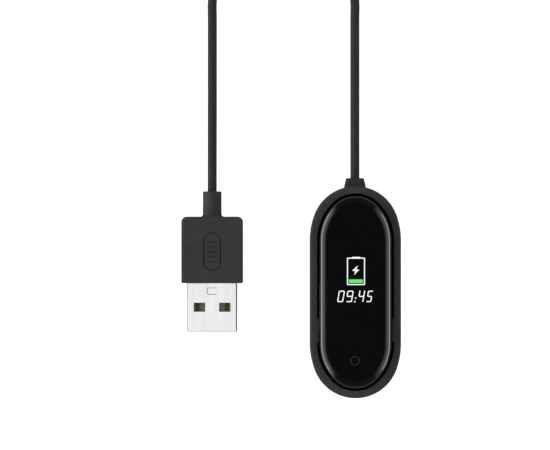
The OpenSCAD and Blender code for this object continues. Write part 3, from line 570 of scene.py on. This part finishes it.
def housing_rings():
    hole = SENSOR_R + SEAT
    top = house_high.z - BACK
    soft = 0.1 * MM
    rings = [
        round_ring(FLOOR, FLANGE_R + FIT, SENSOR_Y), round_ring(0.5 * MM, FLANGE_R + FIT, SENSOR_Y),
        round_ring(0.5 * MM, hole, SENSOR_Y), round_ring(soft, hole, SENSOR_Y),
        round_ring(0, hole + soft, SENSOR_Y),
    ]
    rings += [oval(BACK_ROUND[1] * (1 - math.cos(a)), -BACK_ROUND[0] * (1 - math.sin(a)))
              for a in arc(0, 90, 14)]
    end = GROOVE_Z + GROOVE_H
    rings += [oval(z, grow) for z, grow in (
        (GROOVE_Z - soft, 0), (GROOVE_Z, -soft / 3), (GROOVE_Z + GROOVE_SLOPE - soft, soft - GROOVE_D),
        (GROOVE_Z + GROOVE_SLOPE + soft / 2, -GROOVE_D), (end - GROOVE_SLOPE - soft / 2, -GROOVE_D),
        (end - GROOVE_SLOPE + soft, soft - GROOVE_D), (end, -soft / 3), (end + soft, 0),
        (top - soft, 0), (top - soft / 3, -soft / 3), (top, -soft), (top, -WALL),
        (FLOOR + 4 * soft, -WALL), (FLOOR + soft, -WALL - soft), (FLOOR, -WALL - 4 * soft))]
    return [[(x, y, z + BACK) for x, y, z in ring] for ring in rings]


housing = build("tracker_case", *loft(housing_rings(), closed=True), "tracker",
                "satin_black_plastic", ["tracker_housing"])
cut(housing, [post(side * POGO_X, POGO_Y, BACK - MM, BACK + 2 * MM, PAD_R + SEAT) for side in (-1, 1)])

# ---- Lens: an upright skirt, a rounded shoulder, and a flat face over the display ----
SHOULDER_FROM, SHOULDER_TO = 12, 52
LENS_EDGE = 1.56 * MM
SHOULDER_R = LENS_EDGE / (math.sin(math.radians(SHOULDER_TO)) - math.sin(math.radians(SHOULDER_FROM)))
FLAT_R = 3.0 * MM                       # radius that eases the shoulder into the flat
LENS_T = 0.85 * MM
LENS_WALL = 1.9 * MM
PRINT = 0.02 * MM                       # the lit figures stand this far above the glass


def lens_rings():
    tilts = [math.degrees(a) for a in arc(SHOULDER_TO, SHOULDER_FROM, 20) + arc(SHOULDER_FROM, 0, 8)[1:]]
    profile = [(0.0, 0.0)]              # inwards and upwards from the skirt's top
    for a, b in zip(tilts, tilts[1:]):
        r = SHOULDER_R if b >= SHOULDER_FROM - 0.01 else FLAT_R
        a, b = math.radians(a), math.radians(b)
        inward, up = profile[-1]
        profile.append((inward + r * (math.sin(a) - math.sin(b)), up + r * (math.cos(b) - math.cos(a))))
    rise = profile[-1][1]
    brim = 0.06 * MM                    # chamfer round the skirt's foot
    skin = [(lens_low.z, -brim), (lens_low.z + brim, 0), (TOP - PRINT - rise - brim, 0)]
    skin += [(TOP - PRINT - rise + up, -inward) for inward, up in profile[1:]]
    skin.append((TOP - PRINT, skin[-1][1] - 0.1 * MM))
    rings = [oval(z, grow) for z, grow in skin]
    inside = [oval(lens_low.z, -LENS_WALL), oval(TOP - LENS_T, -LENS_WALL)]
    return inside[::-1] + rings


lens = build("lens", *loft(lens_rings()), "tracker", "lens_glass", ["cover_lens"], crease=60)


def turned(name, profile, x, y, body, slot, replaced, count=64, crease=35):
    """A turned piece from (radius, height) pairs that start and end on its axis."""
    vertices, faces = [], []
    rings = []
    for r, z in profile:
        if r < 1e-9:
            rings.append([len(vertices)])
            vertices.append((x, y, z))
        else:
            rings.append(list(range(len(vertices), len(vertices) + count)))
            vertices += circle(x, y, z, r, count)
    for a, b in zip(rings, rings[1:]):
        for i in range(count):
            j = (i + 1) % count
            quad = [a[i % len(a)], a[j % len(a)], b[j % len(b)], b[i % len(b)]]
            faces.append(tuple(dict.fromkeys(quad)))
    return build(name, vertices, faces, body, slot, replaced, crease=crease)


dome = [(SENSOR_R * math.sin(a), BACK - (BACK - sensor_low.z) * (1 - math.sin(a) ** 4) ** 0.5)
        for a in arc(0, 90, 16)]
turned("sensor_dome", dome + [
    (SENSOR_R, BACK + 0.52 * MM), (FLANGE_R, BACK + 0.52 * MM), (FLANGE_R, sensor_high.z),
    (0, sensor_high.z)], 0, SENSOR_Y, "tracker", "sensor_lens", ["sensor_window"])


# ======== Display: lit figures on the lens ========
SLANT = math.tan(math.radians(10))


def stroke(points, width, closed=False, bend=0.0):
    """Both sides of a line of that width through points, its corners rounded to radius bend."""
    p = [Vector(q) for q in points]
    if bend:
        eased = []
        for i, q in enumerate(p):
            if not closed and i in (0, len(p) - 1):
                eased.append(q)
                continue
            before, after = (p[i - 1] - q), (p[(i + 1) % len(p)] - q)
            a, b = q + before.normalized() * bend, q + after.normalized() * bend
            eased += [a.lerp(q, t).lerp(q.lerp(b, t), t) for t in (0, 0.25, 0.5, 0.75, 1)]
        p = eased
    left, right = [], []
    for i, q in enumerate(p):
        back = q - p[i - 1] if closed or i else p[1] - q
        ahead = p[(i + 1) % len(p)] - q if closed or i < len(p) - 1 else q - p[i - 1]
        along = (back.normalized() + ahead.normalized()).normalized()
        side = Vector((-along.y, along.x)) * (width / 2 / max(0.5, along.dot(ahead.normalized())))
        left.append(q + side)
        right.append(q - side)
    return left, right


def figure(name, strokes, fills, look):
    """Thin lit shapes whose tops are level with the top of the CAD lens, in millimetres."""
    vertices, faces = [], []

    def solid(outline, strips):
        base = len(vertices)
        count = len(outline)
        vertices.extend((x * MM, y * MM, TOP - z) for z in (0, 2 * PRINT) for x, y in outline)
        faces.extend(tuple(base + i for i in strip) for strip in strips)
        faces.extend(tuple(base + count + i for i in reversed(strip)) for strip in strips)
        return base, count

    def wall(base, count, loop):
        for i, a in enumerate(loop):
            b = loop[(i + 1) % len(loop)]
            faces.append((base + a, base + b, base + count + b, base + count + a))

    for points, width, closed, bend in strokes:
        left, right = stroke(points, width, closed, bend)
        n = len(left)
        spans = range(n if closed else n - 1)
        base, count = solid(left + right, [(i, (i + 1) % n, n + (i + 1) % n, n + i) for i in spans])
        if closed:
            wall(base, count, list(range(n)))
            wall(base, count, list(range(n, 2 * n)))
        else:
            wall(base, count, list(range(n)) + list(range(2 * n - 1, n - 1, -1)))
    for outline in fills:
        base, count = solid([Vector(q) for q in outline], [tuple(range(len(outline)))])
        wall(base, count, list(range(len(outline))))
    return build(name, vertices, faces, "tracker", "display", look=look)


LINE = 0.25                             # width of the figures' lines, in millimetres
DIGIT_TOP, DIGIT_LOW = 0.40, -2.34
DIGIT_H = DIGIT_TOP - DIGIT_LOW
LEAN = DIGIT_H * SLANT


def digit(lines, left, right):
    """Lines of a digit on a unit square, fitted between left and right and slanted."""
    w = right - left - LEAN - LINE
    h = DIGIT_H - LINE
    placed = []
    for line in lines:
        points = []
        for x, y in line:
            rise = LINE / 2 + y * h
            points.append((left + LINE / 2 + x * w + rise * SLANT, DIGIT_LOW + rise))
        placed.append((points, LINE, False, 0.28))
    return placed


ZERO = [[(0, 0.52), (0, 1), (1, 1), (1, 0.52)], [(0, 0.48), (0, 0), (1, 0), (1, 0.48)]]
NINE = [[(1, 0.5), (0, 0.5), (0, 1), (1, 1), (1, 0), (0.08, 0)]]
FOUR = [[(0, 1.05), (0, 0.5), (1, 0.5)], [(1, 1.05), (1, -0.02)]]
FIVE = [[(1.05, 1), (0, 1), (0, 0.5), (1, 0.5), (1, 0), (-0.05, 0)]]
time_lines = (digit(ZERO, -4.46, -2.52) + digit(NINE, -2.42, -0.42) + digit(FOUR, 0.44, 2.3)
              + digit(FIVE, 2.5, 4.2))
DOT = 0.16                              # half the width of the colon's dots
dots = [[(x + dx * DOT + dy * DOT * SLANT, y + dy * DOT) for dx, dy in CORNERS]
        for x, y in ((0.0, -1.36), (-0.2, -2.22))]
figure("figures_time", time_lines, dots, "lit_white")
battery_box = [(-1.95, 1.86), (2.12, 1.86), (2.12, 8.17), (-1.95, 8.17)]
cap = [(-0.85, 8.2), (1.1, 8.2), (1.1, 8.4), (1.02, 8.47), (-0.77, 8.47), (-0.85, 8.4)]
bolt = [(0.55, 6.4), (-0.85, 5.2), (-0.1, 5.05), (-0.36, 4.15), (0.88, 5.38), (0.2, 5.5)]
figure("figure_battery", [(battery_box, LINE, True, 0.1)], [cap, bolt], "lit_white")
level = [(0.06 + x, 2.66 + y) for x, y in rounded(3.4, 0.86, 0.15, 4)]
figure("figure_level", [], [level], "lit_green")
HOME_X, HOME_Y, HOME_R, HOME_LINE = -0.15, -16.32, 1.1, 0.19
home_ring = [(x, y) for x, y, _ in circle(HOME_X, HOME_Y, 0, HOME_R - HOME_LINE / 2)]
figure("figure_home", [(home_ring, HOME_LINE, True, 0)], [], "lit_dim")

# ======== Plug ========
PLUG_EDGE = 0.35 * MM
PLUG_FACE = 0.1 * MM                    # ring inside the rounded edges that keeps the faces flat
FRONT_R, BACK_R = 0.35 * MM, 1.3 * MM
NECK_R = 2.25 * MM
NECK_L = 6.1 * MM
plug_back = plug_high.y - NECK_L
plug_front = plug_low.y
plug_half = (plug_high.x - plug_low.x) / 2


def plate(z, shrink):
    """The moulding's outline at a height, with its own corners in front and at the back."""
    points = []
    for cx, y, out, r, turn in ((1, plug_back, -1, BACK_R, 0), (-1, plug_back, -1, BACK_R, 90),
                                (-1, plug_front, 1, FRONT_R, 180), (1, plug_front, 1, FRONT_R, 270)):
        r_here = max(0.05 * MM, r - shrink)
        for a in arc(turn, turn + 90, 8):
            points.append((PLUG_X + cx * (plug_half - shrink - r_here) + r_here * math.cos(a),
                           y + out * (shrink + r_here) + r_here * math.sin(a), z))
    return points


plug_rings = [plate(plug_low.z + PLUG_EDGE * (1 - math.cos(a)), PLUG_EDGE * (1 - math.sin(a)))
              for a in arc(0, 90, 8)]
plug_rings += [plate(plug_high.z - PLUG_EDGE * (1 - math.cos(a)), PLUG_EDGE * (1 - math.sin(a)))
               for a in arc(90, 0, 8)]
plug_rings = [plate(plug_low.z, PLUG_EDGE + PLUG_FACE)] + plug_rings + [
    plate(plug_high.z, PLUG_EDGE + PLUG_FACE)]
overmould = build("plug_body", *loft(plug_rings), "cradle", "matt_black_plastic", ["plug_overmould"])


def ring_at(y, r, count=48):
    return [(PLUG_X + r * math.cos(a), y, PLUG_Z + r * math.sin(a)) for a in arc(0, 360, count)[:-1]]


NECK_FILLET = 0.5 * MM
NECK_END_R = 0.3 * MM
neck_rings = [ring_at(plug_back - 0.6 * MM, NECK_R + NECK_FILLET)]
neck_rings += [ring_at(plug_back + NECK_FILLET * math.sin(a), NECK_R + NECK_FILLET * (1 - math.sin(a)) ** 2)
               for a in arc(0, 90, 6)]
neck_rings += [ring_at(plug_high.y - NECK_END_R * (1 - math.cos(a)), NECK_R - NECK_END_R * (1 - math.sin(a)))
               for a in arc(90, 0, 5)]
cut(overmould, [cutter(neck_rings)], "UNION")
MARK_Y = plug_back - 8.45 * MM
MARK = (4.3 * MM, 9.3 * MM)
MARK_LINE = 0.26 * MM
MARK_DEPTH = 0.2 * MM
BARS = 5
BAR_W, BAR_STEP = 2.0 * MM, 1.2 * MM


def groove_loop(w, l, line, y, z0, z1):
    """A stadium-shaped cutting tool with a hole in it."""
    hair = 0.001 * MM                   # keeps the stadium's ends from closing to a point
    outer = rounded(w, l, w / 2 - hair, 12)
    inner = rounded(w - 2 * line, l - 2 * line, w / 2 - line - hair, 12)
    return cutter([[(PLUG_X + p[0], y + p[1], z) for p in loop] for loop, z in
                   ((outer, z0), (outer, z1), (inner, z1), (inner, z0))], closed=True)


MOULD_GAP = 0.02 * MM
METAL_CORNER = 0.62 * MM
WIRES_W, WIRES_L, WIRES_H = 8.6 * MM, 3.6 * MM, 2.4 * MM    # space for the cores behind the mould
BORE_R = 0.85 * MM                      # for the cores, up to the neck's end
BORE_STOP = 0.5 * MM                    # how far the jacket reaches into the neck
metal_w, metal_h = metal_high.x - metal_low.x, metal_high.z - metal_low.z
hole = rounded(metal_w + 2 * MOULD_GAP, metal_h + 2 * MOULD_GAP, METAL_CORNER)
tools = [
    bar(PLUG_X, PLUG_Z, hole, plug_front - MM, metal_high.y + MOULD_GAP),
    block(mould_low.x - MOULD_GAP, mould_high.x + MOULD_GAP, mould_low.y - MM, mould_high.y + MOULD_GAP,
          mould_low.z - MOULD_GAP, mould_high.z + MOULD_GAP),
    block(PLUG_X - WIRES_W / 2, PLUG_X + WIRES_W / 2, mould_high.y - 0.1 * MM, mould_high.y + WIRES_L,
          PLUG_Z - WIRES_H / 2, PLUG_Z + WIRES_H / 2),
    cutter([ring_at(y, r, 32) for y, r in (
        (mould_high.y + MM, BORE_R), (plug_high.y - BORE_STOP, BORE_R),
        (plug_high.y - BORE_STOP, CORD_R + CORD_FIT), (plug_high.y + MM, CORD_R + CORD_FIT))]),
    groove_loop(*MARK, MARK_LINE, MARK_Y, plug_high.z - MARK_DEPTH, plug_high.z + MM),
]
for i in range(BARS):
    bar_y = MARK_Y + (i - (BARS - 1) / 2) * BAR_STEP
    tools.append(block(PLUG_X - BAR_W / 2, PLUG_X + BAR_W / 2, bar_y - MARK_LINE / 2, bar_y + MARK_LINE / 2,
                       plug_high.z - MARK_DEPTH, plug_high.z + MM))
cut(overmould, tools)

# ---- Plug's metal shell: rolled sheet with latch windows, a stamped tongue and a seam ----
SHEET = 0.3 * MM
FACET = 0.26 * MM                       # width of the coined bevel along each corner
FACET_TILT = 62                         # its slope in degrees
FACET_SOFT = 0.07 * MM                  # radius of the bevel's own edges
FACET_INSET = 0.06 * MM                 # how far those edges start from the bevel


def bevelled(w, h):
    """A rectangle whose corners are flat bevels with softly rounded edges."""
    drop = FACET * math.tan(math.radians(FACET_TILT))
    corner = []
    x, z = w / 2, h / 2 - drop - FACET_INSET
    for a in arc(0, 90 - FACET_TILT, 4):
        corner.append((x - FACET_SOFT * (1 - math.cos(a)), z + FACET_SOFT * math.sin(a)))
    x, z = w / 2 - FACET - FACET_INSET, h / 2
    for a in arc(90 - FACET_TILT, 90, 4):
        corner.append((x + FACET_SOFT * math.cos(a), z - FACET_SOFT * (1 - math.sin(a))))
    upper = corner + [(-x, z) for x, z in reversed(corner)]
    return upper + [(-x, -z) for x, z in upper]


def metal_ring(y, shrink, inside=0.0):
    return standing(bevelled(metal_w - 2 * (shrink + inside), metal_h - 2 * (shrink + inside)),
                    y, PLUG_Z, PLUG_X)


tip = metal_low.y
soft = 0.1 * MM
metal_rings = [metal_ring(metal_high.y, 0), metal_ring(tip + 3 * MM, 0)]
metal_rings += [metal_ring(tip + soft * (1 - math.cos(a)), soft * (1 - math.sin(a)))
                for a in arc(90, 0, 4)]
metal_rings += [metal_ring(tip + soft * (1 - math.cos(a)), -soft * (1 - math.sin(a)), SHEET)
                for a in arc(0, 90, 4)]
metal_rings += [metal_ring(metal_high.y, 0, SHEET)]
metal = build("plug_metal", *loft(metal_rings, closed=True), "cradle", "plug_steel", ["plug_shell"])
WINDOW_X, WINDOW_Y = 3.05 * MM, tip + 5.9 * MM
WINDOW_W, WINDOW_L = 2.75 * MM, 2.2 * MM
SEAM = 0.1 * MM
LANCE_W, LANCE_L, LANCE_SLOT = 2.15 * MM, 1.55 * MM, 0.13 * MM
LANCE_X, LANCE_Y = PLUG_X - 0.075 * MM, plug_front - 1.92 * MM
metal_top = metal_high.z
tools = [block(PLUG_X + side * WINDOW_X - WINDOW_W / 2, PLUG_X + side * WINDOW_X + WINDOW_W / 2,
               WINDOW_Y - WINDOW_L / 2, WINDOW_Y + WINDOW_L / 2, -MM, metal_top + MM, 0.15 * MM)
         for side in (-1, 1)]
tools.append(block(PLUG_X - SEAM / 2, PLUG_X + SEAM / 2, tip - MM, metal_high.y + MM,
                   metal_low.z - MM, metal_low.z + 2 * SHEET))
lance_path = [(LANCE_X + sx * LANCE_W / 2, LANCE_Y + sy * LANCE_L / 2) for sx, sy in CORNERS]
lance_left, lance_right = stroke(lance_path, LANCE_SLOT, False, 0.3 * MM)
lance_outline = lance_left + lance_right[::-1]
tools.append(cutter([[(p.x, p.y, z) for p in lance_outline]
                     for z in (metal_top - 2 * SHEET, metal_top + MM)]))
cut(metal, tools)

# ======== Spring contacts ========
SPRING_R = 0.52 * MM
WIRE_R = 0.06 * MM
SPRING_TURNS = 5


def spring(side, word):
    low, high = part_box(f"pogo_spring_{word}")
    x = side * POGO_X
    steps = SPRING_TURNS * 24
    line = [Vector((x + SPRING_R * math.cos(a), POGO_Y + SPRING_R * math.sin(a),
                    low.z + WIRE_R + (high.z - low.z - 2 * WIRE_R) * i / steps))
            for i, a in enumerate(arc(0, 360 * SPRING_TURNS, steps))]
    rings = []
    for i, p in enumerate(line):
        along = (line[min(i + 1, steps)] - line[max(i - 1, 0)]).normalized()
        across = Vector((0, 0, 1)).cross(along).normalized()
        up = along.cross(across)
        rings.append([p + WIRE_R * (math.cos(a) * across + math.sin(a) * up)
                      for a in arc(0, 360, 10)[:-1]])
    made = build(f"spring_coil_{word}", *loft(rings), f"pogo_{word}", "spring_steel",
                 [f"pogo_spring_{word}"])
    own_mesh(made)


spring(-1, "left")
spring(1, "right")

for piece in (cradle, housing, overmould, metal, relief):
    true_flats(piece)

# ======== Tie round the coil ========
TIE_ANGLE = 25                          # how much of the coil the strap covers, in degrees
TIE_T = 0.4 * MM
TIE_SOFT = 0.18 * MM                    # radius of the strap's edges
TIE_FIT = 0.05 * MM
coil_centre = Vector((COIL[0] * MM, COIL[1] * MM, 0))
tie_low_z, tie_high_z = LAYERS[2] * MM, LAYERS[0] * MM


def tie_rings():
    """The strap's flat section, carried round the three turns that it holds."""
    inner = CORD_R + TIE_FIT
    rings = []
    section = rounded(math.radians(TIE_ANGLE) * COIL_R * MM, TIE_T, TIE_SOFT, 4)
    path = [(math.cos(a), math.sin(a), tie_high_z) for a in arc(0, 180, 14)]
    path += [(-1, 0, tie_high_z + (tie_low_z - tie_high_z) * t) for t in (0.33, 0.67)]
    path += [(math.cos(a), math.sin(a), tie_low_z) for a in arc(180, 360, 14)]
    path += [(1, 0, tie_low_z + (tie_high_z - tie_low_z) * t) for t in (0.33, 0.67)]
    for out, up, z in path:
        ring = []
        for s, t in section:
            away = inner + TIE_T / 2 + t
            radius = COIL_R * MM + out * away
            a = math.pi / 2 + s / (COIL_R * MM)
            ring.append(coil_centre
                        + Vector((radius * math.cos(a), radius * math.sin(a), z + up * away)))
        rings.append(ring)
    return rings


build("lead_tie", *loft(tie_rings(), closed=True), "cradle", "cord_tie_plastic", ["cord_tie"])

# ======== CAD nodes that stay ========
SLOTS = {part["node"]: part["material_slot"] for part in record["subparts"]}
WELD_REACH = 0.001 * MM
EDGE_ROUND = 0.05 * MM
for name, obj in cad_nodes.items():
    if obj.hide_render:
        continue
    paint(obj, SLOTS[name])
    weld = obj.modifiers.new("weld", "WELD")
    weld.merge_threshold = WELD_REACH
    bevel = obj.modifiers.new("edges", "BEVEL")
    bevel.width = EDGE_ROUND
    bevel.segments = 2
    bevel.limit_method = "ANGLE"
    bevel.angle_limit = math.radians(40)

# ======== Floor and light ========
FLOOR_HALF = 0.9
FLOOR_GAP = 0.02 * MM
floor_mesh = bpy.data.meshes.new("floor")
floor_mesh.from_pydata([(x * FLOOR_HALF, y * FLOOR_HALF, -FLOOR_GAP) for x, y in CORNERS],
                       [], [(0, 1, 2, 3)])
floor = bpy.data.objects.new("floor", floor_mesh)
bpy.context.scene.collection.objects.link(floor)
floor_look = finish("floor", (0.5, 0.5, 0.5), 0.8, specular=0.2, mottle=0.005, mottle_scale=40,
                    glow=(0.97, 0.97, 0.97))
floor_tree = floor_look.node_tree
seen = node(floor_tree, "ShaderNodeLightPath").outputs["Is Camera Ray"]
floor_tree.links.new(seen, floor_tree.nodes["Principled BSDF"].inputs["Emission Strength"])
floor.data.materials.append(floor_look)


RAMP_TOP = 10.0                         # light at the top of a ramp's curve


def ramp(tree, value, stops):
    """Light over sin(elevation), from -1 to 1, as a ramp of (place, light) stops."""
    made = node(tree, "ShaderNodeFloatCurve")
    made.mapping.clip_max_y = 1.0
    points = made.mapping.curves[0].points
    points[0].location = (0, stops[0][1] / RAMP_TOP)
    points[1].location = (1, stops[-1][1] / RAMP_TOP)
    for place, light in stops[1:-1]:
        points.new((place + 1) / 2, light / RAMP_TOP)
    for point in points:
        point.handle_type = "VECTOR"
    made.mapping.update()
    tree.links.new(value, made.inputs["Value"])
    return times(tree, made.outputs["Value"], RAMP_TOP)


def maths(tree, operation, a, b):
    made = node(tree, "ShaderNodeMath", operation=operation)
    for entry, value in zip(made.inputs, (a, b)):
        if isinstance(value, (int, float)):
            entry.default_value = value
        else:
            tree.links.new(value, entry)
    return made.outputs["Value"]


def times(tree, a, b):
    return maths(tree, "MULTIPLY", a, b)


def rise(degrees):
    return math.sin(math.radians(degrees))


world = bpy.data.worlds.new("studio")
bpy.context.scene.world = world
world.use_nodes = True
sky = world.node_tree
sky.nodes.clear()
direction = node(sky, "ShaderNodeTexCoord").outputs["Generated"]
axes = node(sky, "ShaderNodeSeparateXYZ")
sky.links.new(direction, axes.inputs["Vector"])
x_, y_, z_ = axes.outputs["X"], axes.outputs["Y"], axes.outputs["Z"]
level01 = maths(sky, "MULTIPLY_ADD", z_, 0.5)
level01.node.inputs[2].default_value = 0.5
flat2 = maths(sky, "ADD", maths(sky, "ADD", times(sky, x_, x_), times(sky, y_, y_)), 1e-6)


def toward(side):
    """1 within about 30 degrees of a side, falling to 0 by 45 degrees."""
    facing = maths(sky, "MAXIMUM", times(sky, x_, side), 0)
    share = maths(sky, "DIVIDE", maths(sky, "POWER", facing, 2), flat2)
    return spread(sky, share, 0, 1, 0.5, 0.75)


to_left, to_right = toward(-1), toward(1)
to_ends = maths(sky, "SUBTRACT", maths(sky, "SUBTRACT", 1, to_left), to_right)
ZENITH = [(rise(64), 0.12), (rise(70), 0.05), (1, 0.05)]


def wall_of_light(below, *stops):
    """Light from one side: below the horizon, then at (degrees, light) stops, then overhead."""
    return ramp(sky, level01, [(-1, below), (rise(-2), below)]
                + [(rise(degrees), light) for degrees, light in stops] + ZENITH)


left = wall_of_light(0.7, (6, 0.5), (9, 6.8), (19, 6.8), (23, 2.8), (34, 2.3), (45, 1.5), (56, 0.75))
right = wall_of_light(0.3, (6, 0.3), (9, 1.2), (19, 2.0), (23, 2.2), (34, 1.8), (45, 1.2), (56, 0.7))
ends = wall_of_light(0.5, (7, 0.1), (9, 1.1), (12, 1.1), (15, 0.1))
total = maths(sky, "ADD", maths(sky, "ADD", times(sky, left, to_left), times(sky, right, to_right)),
              times(sky, ends, to_ends))
background = node(sky, "ShaderNodeBackground")
background.inputs["Color"].default_value = (1, 1, 1, 1)
sky.links.new(total, background.inputs["Strength"])
sky.links.new(background.outputs["Background"], node(sky, "ShaderNodeOutputWorld").inputs["Surface"])


def panel(name, size, energy, location, rotation, lit):
    """A soft rectangular light that reaches only the pieces in lit."""
    data = bpy.data.lights.new(name, "AREA")
    data.shape = "RECTANGLE"
    data.size, data.size_y = size
    data.energy = energy
    made = bpy.data.objects.new(name, data)
    made.location = location
    made.rotation_euler = rotation
    made.visible_camera = False
    bpy.context.scene.collection.objects.link(made)
    receivers = bpy.data.collections.new(name + "_only")
    for piece in lit:
        receivers.objects.link(piece)
    made.light_linking.receiver_collection = receivers


# Overhead, for the plug's metal and the block inside it.
panel("plug_light", (0.24, 0.2), 0.145, (PLUG_X - 0.07, plug_front - 4 * MM, 0.3), (0, 0, 0),
      (metal, cad_nodes["plug_insulator"]))

# The matching bright band on the right, for the tracker alone, so that the lead keeps a dark side.
BAND_SIZE = (1.3, 0.19)
BAND_RISE = math.radians(14)            # elevation of the band's middle, seen from the tracker
BAND_LIGHT = 5.2                        # what the lens mirrors, on the sky's scale
panel("right_band", BAND_SIZE, BAND_LIGHT * math.pi * BAND_SIZE[0] * BAND_SIZE[1],
      (1.0, 0, math.tan(BAND_RISE) + TOP), (math.pi / 2 - BAND_RISE, 0, math.pi / 2), (lens, housing))
